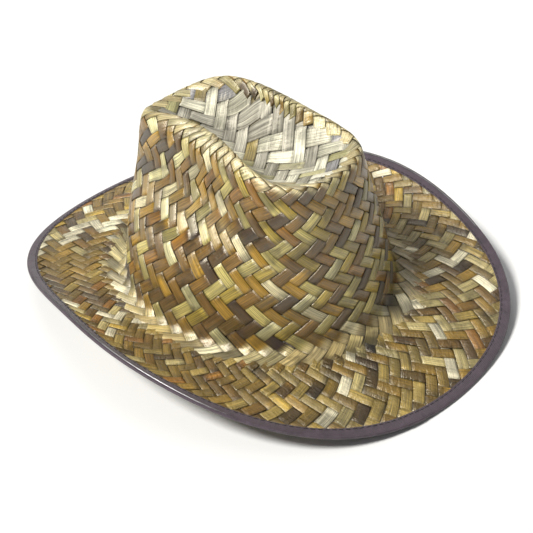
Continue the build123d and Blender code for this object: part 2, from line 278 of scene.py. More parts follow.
class Straw:
    """Collects strips into one mesh with colours and strip coordinates."""

    def __init__(self):
        self.points, self.colours, self.faces, self.marks, self.smooth = [], [], [], [], []
        self.count = 0

    def add(self, points, colours, along, across=SECTION_ACROSS, smooth=SECTION_SMOOTH, closed=False):
        """points: steps x section points x 3; colours: steps x 3; along: steps."""
        steps, ring = points.shape[:2]
        base = self.count
        self.points.append(points.reshape(-1, 3))
        self.colours.append(np.repeat(colours, ring, axis=0))
        marks = np.empty((steps, ring, 2))
        marks[:, :, 0] = np.array(across) + 0.5
        marks[:, :, 1] = along[:, None]
        self.marks.append(marks.reshape(-1, 2))
        spans = steps if closed else steps - 1
        i, j = np.meshgrid(np.arange(spans), np.arange(ring), indexing="ij")
        k, n = (j + 1) % ring, (i + 1) % steps
        quads = np.stack([i * ring + j, i * ring + k, n * ring + k, n * ring + j], axis=2)
        self.faces += (quads.reshape(-1, 4) + base).tolist()
        self.smooth += list(smooth) * spans
        if not closed:
            self.faces.append([base + r for r in reversed(range(ring))])
            self.faces.append([base + (steps - 1) * ring + r for r in range(ring)])
            self.smooth += [False, False]
        self.count += steps * ring

    def build(self, name, material):
        points = np.vstack(self.points)
        marks = np.vstack(self.marks)
        colours = np.hstack([np.vstack(self.colours), np.ones((len(points), 1))])
        mesh = bpy.data.meshes.new(name)
        mesh.from_pydata(points.tolist(), [], self.faces)
        paint = mesh.color_attributes.new("straw", "FLOAT_COLOR", "POINT")
        paint.data.foreach_set("color", colours.astype(np.float32).ravel())
        loops = np.empty(len(mesh.loops), dtype=np.int32)
        mesh.loops.foreach_get("vertex_index", loops)
        layer = mesh.uv_layers.new(name="strip")
        layer.data.foreach_set("uv", marks[loops].astype(np.float32).ravel())
        mesh.polygons.foreach_set("use_smooth", self.smooth)
        mesh.materials.append(material)
        shape = bmesh.new()
        shape.from_mesh(mesh)
        bmesh.ops.recalc_face_normals(shape, faces=shape.faces)
        shape.to_mesh(mesh)
        shape.free()
        mesh.update()
        piece = bpy.data.objects.new(name, mesh)
        bpy.context.scene.collection.objects.link(piece)
        return piece


def ease(share):
    """Smooth step from 0 to 1."""
    return share * share * (3 - 2 * share)


def over_under(number, place, lean):
    """Height from -1 to 1 of strip number of a lean, where it meets the other lean's places."""
    cell = np.floor(place)
    phase = place - cell
    state, before, after = [
        np.where(np.mod(lean * (number - cell - step), 4) < 2, 1.0, -1.0) for step in (0, -1, 1)]
    half = TURN_SHARE / 2
    rise = np.clip((phase + half) / TURN_SHARE, 0, 1)
    fall = np.clip((phase - 1 + half) / TURN_SHARE, 0, 1)
    height = np.where(phase < 0.5, before + (state - before) * ease(rise),
                      state + (after - state) * ease(fall))
    return lean * height


class Lattice:
    """Two leans of strips over part of the grid, in a two-over two-under twill."""

    def __init__(self, strips, width, row_low, row_high, steepest, lift=-WALL_MIDDLE):
        self.strips, self.row_low, self.row_high, self.lift = strips, row_low, row_high, lift
        length = RING_LENGTH
        reference = length[BRIM_ROWS if row_high > BRIM_ROWS else 0]
        lean = np.minimum(strips * width * np.sqrt(length / reference) / length, steepest)
        self.spacing = length * lean / strips
        slope = lean / np.sqrt(1 - lean ** 2)
        rate = strips / (length * slope)
        steps = np.diff(ROW_REACH) * (rate[1:] + rate[:-1]) / 2
        self.g = np.concatenate([[0], np.cumsum(steps)])
        self.rows = np.arange(ROW_COUNT)

    def strip(self, straw, number, lean, palette, chance, ragged):
        """Adds one strip; lean is 1 or -1."""
        low = self.row_low + chance.random() * ragged[0]
        high = self.row_high - chance.random() * ragged[1]
        g_low, g_high = np.interp([low, high], self.rows, self.g)
        count = max(int((g_high - g_low) * 2 * STEPS_PER_CELL), 4)
        g = np.linspace(g_low, g_high, count)
        middle = number + 0.5 + chance.uniform(-JITTER, JITTER)
        other = middle - 2 * lean * g
        height = over_under(number, other, lean)
        width = STRIP_SHARE * chance.uniform(0.95, 1.03)
        place = np.interp(g, self.g, self.rows)
        if self.row_high < BRIM_ROWS:                  # brim strips dive under the crown's
            tuck = np.clip((place - self.row_high + 3) / 3, 0, 1)
        else:
            tuck = np.clip((self.row_low + 2.2 - place) / 2.2, 0, 1) * 0.6
        tilt = per_cell(other, number, lean, TILT)
        shade = per_cell(other, number + 1000, lean, 1.0)
        arch = np.clip(height, 0, 1) * ARCH
        wander = JITTER * np.sin(other * 0.9 + number)
        lines = []
        for across, rise in zip(SECTION_ACROSS, SECTION_LIFT):
            offset = across * width + wander
            level = g + lean * offset / 2              # sections run along the other lean's strips
            rows = np.interp(level, self.g, self.rows)
            turn = (middle + offset - lean * level) / self.strips
            centre = look_up(GRID, turn, rows)
            normal = unit(look_up(NORMAL, turn, rows))
            up = height * WEAVE_RISE + rise * STRIP_THICK + arch + self.lift - tuck * TUCK
            up = up + tilt * across * 2 * MM * np.clip(height + 0.4, 0, 1)
            lines.append(centre + normal * up[:, None])
        colours = self.strip_colours(number, place, height, shade, centre, normal, palette, chance)
        straw.add(np.stack(lines, axis=1), colours, other + number * 7.31)

    def strip_colours(self, number, rows, height, shade, centre, normal, palette, chance):
        """Colours along a strip: painted highlight on the upward-facing crest, pale brim, painted shade at
        the foot and where the strip passes under, water marks.
        """
        base = pick(palette, chance)
        pale = pick(BRIM_COLOURS, chance) * 0.64 + PALE_CREAM * 0.30
        apron = np.clip((BRIM_ROWS + 0.5 - rows) / 1.5, 0, 1) * (self.row_high > BRIM_ROWS)
        colours = base * (1 - apron[:, None]) + pale * apron[:, None]
        ring = number / self.strips * 2 * math.pi
        zone = np.sin(rows * 0.13 + 1.4 * math.sin(2 * ring) + 0.6) * 0.6
        zone = zone + np.sin(rows * 0.31 + 3 * ring) * 0.4
        colours = colours * (1 + FLOAT_SHADE * shade + ZONE_SHADE * zone)[:, None]
        # Painted highlight: upward-facing strips on the upper crown are painted towards pale cream
        crest_highlight = np.clip((normal[:, 2] - 0.42) / 0.4, 0, 1) * (rows > BRIM_ROWS + CROWN_ROWS / 2) * 0.8
        colours = colours + (PALE_CREAM - colours) * crest_highlight[:, None] * (0.7 + 0.3 * shade[:, None])
        # Painted shade along the crown's foot and where a strip passes under the other lean; the water
        # marks are stains
        foot = np.exp(-((rows - BRIM_ROWS - 2.0) / 2.0) ** 2)
        dark = (1 - END_SHADE * (1 - np.clip(height + 0.1, 0, 1))) * (1 - FOOT_SHADE * foot)
        for share, rows_out, radius in STAINS:
            gap = np.linalg.norm(centre - GRID[round(share * SECTIONS), BRIM_ROWS - rows_out], axis=1)
            dark = dark * (1 - STAIN_SHADE * np.clip(1.6 - gap / radius, 0, 1))
        return np.clip(colours * dark[:, None], 0.01, 0.9)

    def weave(self, name, palette, material, ragged=(0.0, 0.0)):
        pieces = []
        for lean, word in ((1, "right"), (-1, "left")):
            straw = Straw()
            chance = random.Random(hash_of(name) + lean)
            for number in range(self.strips):
                self.strip(straw, number, lean, palette, chance, ragged)
            pieces.append(straw.build(f"{name}_{word}_lean", material))
        return pieces


def hash_of(name):
    """A fixed number for a name."""
    return sum((k + 3) * ord(letter) for k, letter in enumerate(name))


def per_cell(place, number, lean, size):
    """Seeded value from -size to size, steady along each visible float."""
    slot = np.floor((place - 0.5 * lean) / 2)
    value = np.sin(slot * 12.9898 + number * 78.233 + lean * 3.7) * 43758.5453
    value = (value - np.floor(value)) * 2 - 1
    kernel = np.array([0.25, 0.5, 0.25])
    if len(value) > 4:
        value = np.convolve(np.pad(value, 1, mode="edge"), kernel, mode="valid")
    return value * size


# ---- Woven top ----------------------------------------------------------------
TOP_CELL = 2.0 * MM
TOP_ROW_IN = 3              # the mat's outline lies this many grid rows inside the crest
TOP_TUCK = 5 * MM           # the mat's margin lies under the side strips
TOP_DEPTH = 45 * MM         # the height field ends this far under the crown's top
TOP_REACH = 110 * MM        # strips are laid out this far from the mat's middle
TOP_STRIPS = 32             # of each lean, before the ones outside the outline are left out
TOP_TURNS = {1: math.radians(33), -1: math.radians(-63)}


def top_surface():
    """Smoothed height field of the dish."""
    low, high = CROWN_LOW, CROWN_HIGH
    xs = np.arange(low.x, high.x, TOP_CELL)
    ys = np.arange(low.y, high.y, TOP_CELL)
    heights = np.array([[drop(CROWN_TREE, x, y) or 0.0 for y in ys] for x in xs])
    heights = np.maximum(heights, CROWN_HIGH.z - TOP_DEPTH)
    for _ in range(3):
        heights[1:-1] = 0.25 * heights[:-2] + 0.5 * heights[1:-1] + 0.25 * heights[2:]
        heights[:, 1:-1] = 0.25 * heights[:, :-2] + 0.5 * heights[:, 1:-1] + 0.25 * heights[:, 2:]
    slope_x, slope_y = np.gradient(heights, TOP_CELL)
    return xs, ys, np.stack([heights, slope_x, slope_y], axis=2)


def field_at(xs, ys, field, x, y):
    """Bilinear look-up in the height field."""
    u = np.clip((x - xs[0]) / TOP_CELL, 0, len(xs) - 1.001)
    v = np.clip((y - ys[0]) / TOP_CELL, 0, len(ys) - 1.001)
    i, j = u.astype(int), v.astype(int)
    fu, fv = (u - i)[:, None], (v - j)[:, None]
    near = field[i, j] * (1 - fu) + field[i + 1, j] * fu
    far = field[i, j + 1] * (1 - fu) + field[i + 1, j + 1] * fu
    return near * (1 - fv) + far * fv


def margin_inside(outline, x, y):
    """Distance inside a closed outline, negative outside."""
    a, b = outline, np.roll(outline, -1, axis=0)
    p = np.stack([x, y], axis=1)[:, None, :]
    d = b - a
    t = np.clip(((p - a) * d).sum(axis=2) / (d * d).sum(axis=1), 0, 1)
    gap = np.linalg.norm(p - (a + d * t[:, :, None]), axis=2).min(axis=1)
    crosses = ((a[:, 1] > y[:, None]) != (b[:, 1] > y[:, None]))
    where = a[:, 0] + (y[:, None] - a[:, 1]) / (b[:, 1] - a[:, 1] + 1e-12) * d[:, 0]
    inside = (crosses & (x[:, None] < where)).sum(axis=1) % 2 == 1
    return np.where(inside, gap, -gap)


def weave_top(material):
    """The mat of both leans inside the crest."""
    xs, ys, field = top_surface()
    outline = GRID[:, BRIM_ROWS + CROWN_ROWS + TOP_ROW_IN, :2]
    middle = outline.mean(axis=0)
    pieces = []
    steps = np.arange(-TOP_REACH, TOP_REACH, TOP_STRIP_WIDTH / STEPS_PER_CELL)
    ways = {lean: np.array([math.cos(turn), math.sin(turn)]) for lean, turn in TOP_TURNS.items()}
    asides = {lean: np.array([-way[1], way[0]]) for lean, way in ways.items()}
    for lean, word in ((1, "right"), (-1, "left")):
        along, aside, other_aside = ways[lean], asides[lean], asides[-lean]
        straw = Straw()
        chance = random.Random(hash_of("top") + lean)
        for number in range(-TOP_STRIPS // 2, TOP_STRIPS // 2):
            base = pick(TOP_COLOURS, chance)
            centre = (number + 0.5 + chance.uniform(-JITTER, JITTER)) * TOP_STRIP_WIDTH
            path = middle + along * steps[:, None] + aside * centre
            place = (path - middle) @ other_aside / TOP_STRIP_WIDTH
            height = over_under(number, place, lean)
            margin = margin_inside(outline, path[:, 0], path[:, 1])
            keep = np.flatnonzero(margin > 0)
            if len(keep) < 6:
                continue
            keep = np.arange(keep[0], keep[-1] + 1)
            tuck = np.clip(1 - margin[keep] / TOP_TUCK, 0, 1) * 0.9 * MM
            tilt = per_cell(place[keep], number + 40, lean, TILT)
            shade = per_cell(place[keep], number + 2000, lean, 1.0)
            arch = np.clip(height[keep], 0, 1) * ARCH
            rings = []
            for across, rise in zip(SECTION_ACROSS, SECTION_LIFT):
                spot = path[keep] + aside * (across * 0.94 * TOP_STRIP_WIDTH)
                values = field_at(xs, ys, field, spot[:, 0], spot[:, 1])
                normal = np.stack([-values[:, 1], -values[:, 2], np.ones(len(keep))], axis=1)
                normal /= np.linalg.norm(normal, axis=1, keepdims=True)
                up = height[keep] * WEAVE_RISE + rise * STRIP_THICK + arch - tuck - WALL_MIDDLE
                up = up + tilt * across * 2 * MM * np.clip(height[keep] + 0.4, 0, 1)
                surface = np.column_stack([spot, values[:, 0]])
                rings.append(surface + normal * up[:, None])
            colours = base[None, :] * (1 + 0.34 * shade[:, None])
            # Painted shade: a strip is painted darker where it passes under the other lean
            colours = colours * (0.5 + 0.5 * np.clip(height[keep] + 0.1, 0, 1))[:, None]
            straw.add(np.stack(rings, axis=1), np.clip(colours, 0.01, 0.9), place[keep] + number * 7.31)
        pieces.append(straw.build(f"top_{word}_lean", material))
    return pieces


# ---- Cloth tape around the brim's edge ----------------------------------------
EDGE_STEPS = 1300
LAP_TURN = 75 / 360         # the tape's ends lap here
LAP_HALF = 6.5 * MM
# The tape's section is in millimetres from the straw's edge
LAP_RISE = 0.36
# Half of its outer skin: (outward, lift)
TAPE_FLAT = ((-5.36, 0.78), (-5.33, 1.02), (-5.15, 1.13), (-4.6, 1.16), (-4.1, 1.13), (-3.6, 1.16),
             (-2.6, 1.17), (-1.6, 1.17), (-0.6, 1.17), (0.2, 1.16))
TAPE_STITCH = -4.1          # the seam's place in the section
BEAD_MIDDLE = 0.85
BEAD_RADIUS = 1.10
BEAD_TURNS = (92, 70, 50, 30, 10, -10, -30, -50, -70, -92)      # degrees
TAPE_SKIN = 0.4             # the cloth's thickness


def tape_section():
    """Outer skin of the folded tape, from its upper inner edge to its lower."""
    bead = [(BEAD_MIDDLE + BEAD_RADIUS * math.cos(math.radians(t)),
             BEAD_RADIUS * math.sin(math.radians(t))) for t in BEAD_TURNS]
    under = [(out, -lift) for out, lift in reversed(TAPE_FLAT)]
    return np.array(list(TAPE_FLAT) + bead + under)


def inward_skin(points, depth):
    """An open polyline moved by depth to its right, the tape's inside."""
    along = np.gradient(points, axis=0)
    along /= np.linalg.norm(along, axis=1, keepdims=True)
    return points - np.stack([-along[:, 1], along[:, 0]], axis=1) * depth


def edge_path():
    """Evenly spaced frames along the straw's edge: middle, outward, up, turn, distance."""
    fine = np.linspace(0, 1, 4 * SECTIONS + 1)
    line = look_up(GRID, fine, np.zeros(len(fine)))
    reach = np.concatenate([[0], np.cumsum(np.linalg.norm(np.diff(line, axis=0), axis=1))])
    distance = np.arange(EDGE_STEPS) / EDGE_STEPS * reach[-1]
    turn = np.interp(distance, reach, fine)
    rows = np.zeros(EDGE_STEPS)
    edge = look_up(GRID, turn, rows)
    upward = unit(look_up(NORMAL, turn, rows + 1.0))
    outward = edge - look_up(GRID, turn, rows + 4.0)
    outward = unit(outward - upward * (outward * upward).sum(axis=1, keepdims=True))
    middle = edge + outward * EDGE_MARGIN - upward * WALL_MIDDLE
    return middle, outward, upward, turn, distance, reach[-1]


EDGE, EDGE_OUT, EDGE_UP, EDGE_TURN, EDGE_REACH, EDGE_LENGTH = edge_path()
EDGE_STITCHES = round(EDGE_LENGTH / STITCH_PITCH)


def tape_lift(out):
    """Extra lift of the tape's skin along the edge: pull of the seam, puckers and the lap."""
    beat = 2 * math.pi * EDGE_REACH / EDGE_LENGTH
    dimple = 0.5 + 0.5 * np.cos(beat * EDGE_STITCHES)
    near = math.exp(-((out - TAPE_STITCH) / 0.55) ** 2)
    pucker = np.sin(beat * 97) * 0.5 + np.sin(beat * 171 + 1.3) * 0.35 + np.sin(beat * 41 + 0.4) * 0.4
    flat = 1.0 if -5.2 < out < 0 else 0.25
    away = np.abs((EDGE_TURN - LAP_TURN + 0.5) % 1 - 0.5) * EDGE_LENGTH
    lap = np.clip((LAP_HALF - away) / (0.9 * MM), 0, 1) * LAP_RISE
    return (0.07 * pucker * flat - 0.17 * dimple * near + lap) * MM


def make_tape(material):
    """The folded tape as one closed loop, and its width laid flat."""
    skin = tape_section()
    inner = inward_skin(skin, TAPE_SKIN)[::-1]
    rings = []
    half = len(skin) // 2
    for number, (out, lift) in enumerate(skin):
        side = 1 if number < half else -1
        extra = tape_lift(out)
        if out > 0:
            away = unit((out - BEAD_MIDDLE) * EDGE_OUT + lift * EDGE_UP)
            rings.append(EDGE + (EDGE_OUT * out + EDGE_UP * lift) * MM + away * extra[:, None])
        else:
            rings.append(EDGE + EDGE_OUT * out * MM + EDGE_UP * (lift * MM + side * extra)[:, None])
    for out, lift in inner:
        rings.append(EDGE + (EDGE_OUT * out + EDGE_UP * lift) * MM)
    steps = np.linalg.norm(np.diff(skin, axis=0), axis=1)
    reach = np.concatenate([[0], np.cumsum(steps)]) * MM
    across = np.concatenate([reach, reach[::-1]]) - 0.5     # Straw.add puts the half back
    flags = [True] * (len(skin) + len(inner))
    flags[0] = flags[len(skin) - 2] = flags[len(skin) - 1] = flags[-1] = False
    tape = Straw()
    tape.add(np.stack(rings, axis=1), np.ones((EDGE_STEPS, 3)), EDGE_REACH, across, flags, closed=True)
    return tape.build("edge_tape", material), reach[-1]


def stitch(thread, start, end, upward, chance, radius=0.27 * MM):
    """One short thread from start to end, both into the cloth, arched over its face."""
    turns = np.linspace(0, 2 * math.pi, 7)[:-1]
    share = np.linspace(0, 1, 7)[:, None]
    way = (end - start) / np.linalg.norm(end - start)
    aside = np.cross(way, upward)
    centre = start + (end - start) * share
    centre = centre + upward * (np.sin(share * math.pi) ** 0.6 * 0.34 - 0.20) * MM
    centre = centre + aside * (share - 0.5) * chance.uniform(-0.3, 0.3) * MM
    ring = [centre + (aside * math.cos(t) + upward * math.sin(t)) * radius * 0.95 for t in turns]
    shade = chance.uniform(0.8, 1.25)
    thread.add(np.stack(ring, axis=1), np.full((7, 3), shade), share[:, 0] * 2.6,
               turns / (2 * math.pi) - 0.5, [True] * 6)


def tape_stitches(side, material, name):
    """Stitches of the tape's seam on one face."""
    thread, chance = Straw(), random.Random(31 + side)
    line = EDGE + EDGE_OUT * TAPE_STITCH * MM + EDGE_UP * side * 1.12 * MM
    half = STITCH_LENGTH / STITCH_PITCH / 2
    for k in range(EDGE_STITCHES):
        ends = []
        for share in (k + 0.5 - half, k + 0.5 + half):
            at = (share / EDGE_STITCHES % 1.0) * EDGE_STEPS
            i = int(at) % EDGE_STEPS
            j = (i + 1) % EDGE_STEPS
            ends.append(line[i] + (line[j] - line[i]) * (at - int(at)))
        turn = (k + 0.5) / EDGE_STITCHES
        i = int(turn * EDGE_STEPS)
        away = abs((EDGE_TURN[i] - LAP_TURN + 0.5) % 1 - 0.5) * EDGE_LENGTH
        raised = EDGE_UP[i] * side * (LAP_RISE * MM if away < LAP_HALF else 0.0)
        stitch(thread, ends[0] + raised, ends[1] + raised, EDGE_UP[i] * side, chance)
    return thread.build(name, material)


# ---- Sweatband inside the crown -----------------------------------------------
BAND_LOW, BAND_HIGH = 1.2 * MM, 31 * MM
TAB_HIGH = BAND_HIGH - 0.6 * MM
BAND_DEPTH = 2.15 * MM      # its outer face under the crown's outer face
BAND_SKIN = 0.95 * MM
BAND_SEAM = 4.0 * MM
JOIN_HALF = 7.0 * MM
JOIN_SEAM = 4.5 * MM
JOIN_SKIN = 0.8 * MM
BACK_TURN = float(np.interp(math.pi / 2, np.concatenate([ANGLES, [2 * math.pi]]),
                            np.arange(SECTIONS + 1) / SECTIONS))
BAND_OPENING = 2.0 * MM / FOOT_LENGTH


def inside_point(turn, height, depth):
    """Points inside the crown's wall at arrays of turn, a height above the foot and a depth."""
    wall = slice(BRIM_ROWS, BRIM_ROWS + CROWN_ROWS // 2)
    rows = np.arange(ROW_COUNT)[wall]
    at = np.array([np.interp(FOOT_Z + height, GRID[i, wall, 2], rows) for i in range(SECTIONS)])
    u = np.mod(turn, 1.0) * SECTIONS
    i = u.astype(int) % SECTIONS
    row = at[i] * (1 - u + np.floor(u)) + at[(i + 1) % SECTIONS] * (u - np.floor(u))
    normal = unit(look_up(NORMAL, turn, row))
    return look_up(GRID, turn, row) - normal * depth, normal


def band(name, turns, low, high, depth, skin, material, wave=0.0):
    """Strip of cloth inside the crown, between two heights, at a depth."""
    heights = np.linspace(low, high, 11)
    loose = np.sin(turns * 2 * math.pi * 9) * 0.5 + np.sin(turns * 2 * math.pi * 23 + 1.0) * 0.3
    rings = []
    for height in heights:
        rings.append(inside_point(turns, height, depth)[0])
    edge = [inside_point(turns, high + 0.35 * MM, depth + skin * 0.5)[0]]
    inner = []
    for number, height in enumerate(heights[::-1]):
        share = (height - low) / (high - low)
        hem = 1.25 if number in (1, len(heights) - 2) else 1.0
        thick = skin * hem + wave * share * (1 + loose[:, None])
        normal = inside_point(turns, height, 0)[1]
        inner.append(inside_point(turns, height, depth)[0] - normal * thick)
    across = np.concatenate([heights, [high], heights[::-1]]) - low - 0.5
    cloth = Straw()
    along = np.arange(len(turns)) / (len(turns) - 1) * (turns[-1] - turns[0]) * FOOT_LENGTH
    flags = [True] * (2 * len(heights) + 1)
    flags[-1] = False
    cloth.add(np.stack(rings + edge + inner, axis=1), np.ones((len(turns), 3)), along, across, flags)
    return cloth.build(name, material), along[-1]


def band_stitches(name, material):
    """Seam along the band's foot."""
    thread, chance = Straw(), random.Random(57)
    length = FOOT_LENGTH * 0.97
    count = round(length / STITCH_PITCH)
    clear = (JOIN_HALF + 2 * MM) / FOOT_LENGTH
    starts = BACK_TURN + clear + (1 - 2 * clear) * np.arange(count) / count
    reach = (1 - 2 * clear) / count * STITCH_LENGTH / STITCH_PITCH
    depth = BAND_DEPTH + BAND_SKIN * 1.2
    first, normal = inside_point(starts, BAND_SEAM, depth)
    second = inside_point(starts + reach, BAND_SEAM, depth)[0]
    for a, b, n in zip(first, second, normal):
        stitch(thread, a, b, -n, chance)
    return thread.build(name, material)


def join_stitches(name, material):
    """Two upright seams on the tab that joins the band's ends."""
    thread, chance = Straw(), random.Random(91)
    depth = BAND_DEPTH + BAND_SKIN * 1.3 + JOIN_SKIN * 1.25
    for x in (-JOIN_SEAM, JOIN_SEAM):
        turn = np.array([BACK_TURN + x / FOOT_LENGTH])
        for k in range(9):
            low = BAND_LOW + (1.2 + k * 3.1) * MM
            a, normal = inside_point(turn, low, depth)
            b = inside_point(turn, low + 2.3 * MM, depth)[0]
            stitch(thread, a[0], b[0], -normal[0], chance)
    return thread.build(name, material)


# ---- Materials ----------------------------------------------------------------
def new_material(name):
    """A material, its node tree and its shader."""
    material = bpy.data.materials.new(name)
    material.use_nodes = True
    tree = material.node_tree
    shader = tree.nodes["Principled BSDF"]
    return material, tree, shader


def node(tree, kind, **values):
    """A new node; in_X sets its input X and other names set its properties."""
    made = tree.nodes.new(kind)
    for key, value in values.items():
        if key.startswith("in_"):
            made.inputs[key[3:].replace("_", " ")].default_value = value
        else:
            setattr(made, key, value)
    return made


def ramp(tree, source, stops):
    """Grey values at places from 0 to 1."""
    made = tree.nodes.new("ShaderNodeValToRGB")
    elements = made.color_ramp.elements
    while len(elements) < len(stops):
        elements.new(0.5)
    for element, (at, value) in zip(elements, stops):
        element.position = at
        element.color = (value, value, value, 1)
    tree.links.new(source, made.inputs["Fac"])
    return made.outputs["Color"]


def multiply(tree, one, two):
    """Product of two colours."""
    made = tree.nodes.new("ShaderNodeVectorMath")
    made.operation = "MULTIPLY"
    tree.links.new(one, made.inputs[0])
    tree.links.new(two, made.inputs[1])
    return made.outputs["Vector"]


def straw_material(name, gloss, streak=0.62, spots=0.5, wrinkles=0.0):
    """Flat split palm leaf: fibre streaks, painted shade along the cut edges, dark weathered spots, a soft
    gloss.
    """
    material, tree, shader = new_material(name)
    link = tree.links.new
    paint = node(tree, "ShaderNodeAttribute", attribute_name="straw")
    marks = node(tree, "ShaderNodeUVMap", uv_map="strip")
    parts = node(tree, "ShaderNodeSeparateXYZ")
    link(marks.outputs["UV"], parts.inputs[0])
    fibres = []
    for across, along, detail in ((13.0, 0.30, 4.0), (5.0, 0.20, 3.0)):
        stretch = node(tree, "ShaderNodeVectorMath", operation="MULTIPLY")
        stretch.inputs[1].default_value = (across, along, 1.0)
        link(marks.outputs["UV"], stretch.inputs[0])
        noise = node(tree, "ShaderNodeTexNoise", in_Scale=1.0, in_Detail=detail, in_Roughness=0.6)
        link(stretch.outputs["Vector"], noise.inputs["Vector"])
        fibres.append(noise.outputs["Fac"])
    fine = ramp(tree, fibres[0], ((0.36, 1 - streak), (0.64, 1 + streak * 0.7)))
    broad = ramp(tree, fibres[1], ((0.32, 0.78), (0.68, 1.16)))
    # Painted shade: the strip's cut edges, down in the gaps between strips, are painted darker
    edge_shade = ramp(tree, parts.outputs["X"], ((0.0, 0.55), (0.06, 1.12), (0.94, 1.12), (1.0, 0.55)))
    blotch = node(tree, "ShaderNodeTexNoise", in_Scale=75.0, in_Detail=3.0, in_Roughness=0.55)
    place = node(tree, "ShaderNodeTexCoord")
    link(place.outputs["Object"], blotch.inputs["Vector"])
    weathered = ramp(tree, blotch.outputs["Fac"], ((0.30, 1 - spots), (0.40, 0.94), (0.75, 1.06)))
    colour = multiply(tree, paint.outputs["Color"], fine)
    for layer in (broad, edge_shade, weathered):
        colour = multiply(tree, colour, layer)
    link(colour, shader.inputs["Base Color"])
    sheen_map = node(tree, "ShaderNodeMapRange", in_To_Min=gloss - 0.07, in_To_Max=gloss + 0.16)
    link(fibres[1], sheen_map.inputs["Value"])
    link(sheen_map.outputs["Result"], shader.inputs["Roughness"])
    bump = node(tree, "ShaderNodeBump", in_Strength=0.55, in_Distance=0.00025)
    link(fibres[0], bump.inputs["Height"])
    crease_place = node(tree, "ShaderNodeVectorMath", operation="MULTIPLY")
    crease_place.inputs[1].default_value = (1.6, 3.4, 1.0)
    link(marks.outputs["UV"], crease_place.inputs[0])
    creases = node(tree, "ShaderNodeTexNoise", in_Scale=1.0, in_Detail=3.0, in_Roughness=0.7)
    link(crease_place.outputs["Vector"], creases.inputs["Vector"])
    crumple = node(tree, "ShaderNodeBump", in_Strength=wrinkles, in_Distance=0.0011)
    link(creases.outputs["Fac"], crumple.inputs["Height"])
    link(bump.outputs["Normal"], crumple.inputs["Normal"])
    link(crumple.outputs["Normal"], shader.inputs["Normal"])
    shader.inputs["Anisotropic"].default_value = 0.9
    tangent = node(tree, "ShaderNodeTangent", direction_type="UV_MAP", uv_map="strip")
    link(tangent.outputs["Tangent"], shader.inputs["Tangent"])
    shader.inputs["IOR"].default_value = 1.7
    shader.inputs["Specular IOR Level"].default_value = 1.0
    shader.inputs["Specular Tint"].default_value = (1.0, 0.92, 0.76, 1)
    return material


def cloth_material(name, colour, ribs, roughness, sheen=0.25, contrast=0.35):
    """Woven cloth: ribs one way, threads across them, uneven dye, and colour darker in the weave's low
    parts and paler on its high parts.
    """
    material, tree, shader = new_material(name)
    link = tree.links.new
    marks = node(tree, "ShaderNodeUVMap", uv_map="strip")
    parts = node(tree, "ShaderNodeSeparateXYZ")
    link(marks.outputs["UV"], parts.inputs[0])
    waves = []
    for output, pitch in (("Y", ribs[0]), ("X", ribs[1])):
        turn = node(tree, "ShaderNodeMath", operation="MULTIPLY")
        turn.inputs[1].default_value = 2 * math.pi / pitch
        link(parts.outputs[output], turn.inputs[0])
        wave = node(tree, "ShaderNodeMath", operation="SINE")
        link(turn.outputs[0], wave.inputs[0])
        waves.append(wave)
    weave = node(tree, "ShaderNodeMath", operation="MULTIPLY")
    link(waves[0].outputs[0], weave.inputs[0])
    link(waves[1].outputs[0], weave.inputs[1])
    height = node(tree, "ShaderNodeMath", operation="ADD")
    link(weave.outputs[0], height.inputs[0])
    link(waves[0].outputs[0], height.inputs[1])
    place = node(tree, "ShaderNodeTexCoord")
    dye = node(tree, "ShaderNodeTexNoise", in_Scale=160.0, in_Detail=4.0, in_Roughness=0.65)
    link(place.outputs["Object"], dye.inputs["Vector"])
    fuzz = node(tree, "ShaderNodeTexNoise", in_Scale=1400.0, in_Detail=2.0)
    link(place.outputs["Object"], fuzz.inputs["Vector"])
    base = node(tree, "ShaderNodeRGB")
    base.outputs[0].default_value = (*srgb(colour), 1)
    patches = ramp(tree, dye.outputs["Fac"], ((0.3, 1 - contrast), (0.7, 1 + contrast)))
    shade = multiply(tree, base.outputs[0], patches)
    shade = multiply(tree, shade, ramp(tree, fuzz.outputs["Fac"], ((0.35, 0.8), (0.65, 1.2))))
    # Colour follows the weave's height: darker in its low parts, paler on its high parts
    spread = node(tree, "ShaderNodeMapRange", in_From_Min=-2.0, in_From_Max=2.0)
    link(height.outputs[0], spread.inputs["Value"])
    shade = multiply(tree, shade, ramp(tree, spread.outputs["Result"], ((0.0, 0.72), (1.0, 1.18))))
    link(shade, shader.inputs["Base Color"])
    rough = ramp(tree, dye.outputs["Fac"], ((0.3, roughness - 0.1), (0.7, roughness + 0.12)))
    link(rough, shader.inputs["Roughness"])
    bump = node(tree, "ShaderNodeBump", in_Strength=0.6, in_Distance=0.00012)
    link(height.outputs[0], bump.inputs["Height"])
    soft = node(tree, "ShaderNodeBump", in_Strength=0.35, in_Distance=0.0004)
    link(dye.outputs["Fac"], soft.inputs["Height"])
    link(bump.outputs["Normal"], soft.inputs["Normal"])
    link(soft.outputs["Normal"], shader.inputs["Normal"])
    shader.inputs["Sheen Weight"].default_value = sheen
    shader.inputs["Sheen Roughness"].default_value = 0.4
    return material


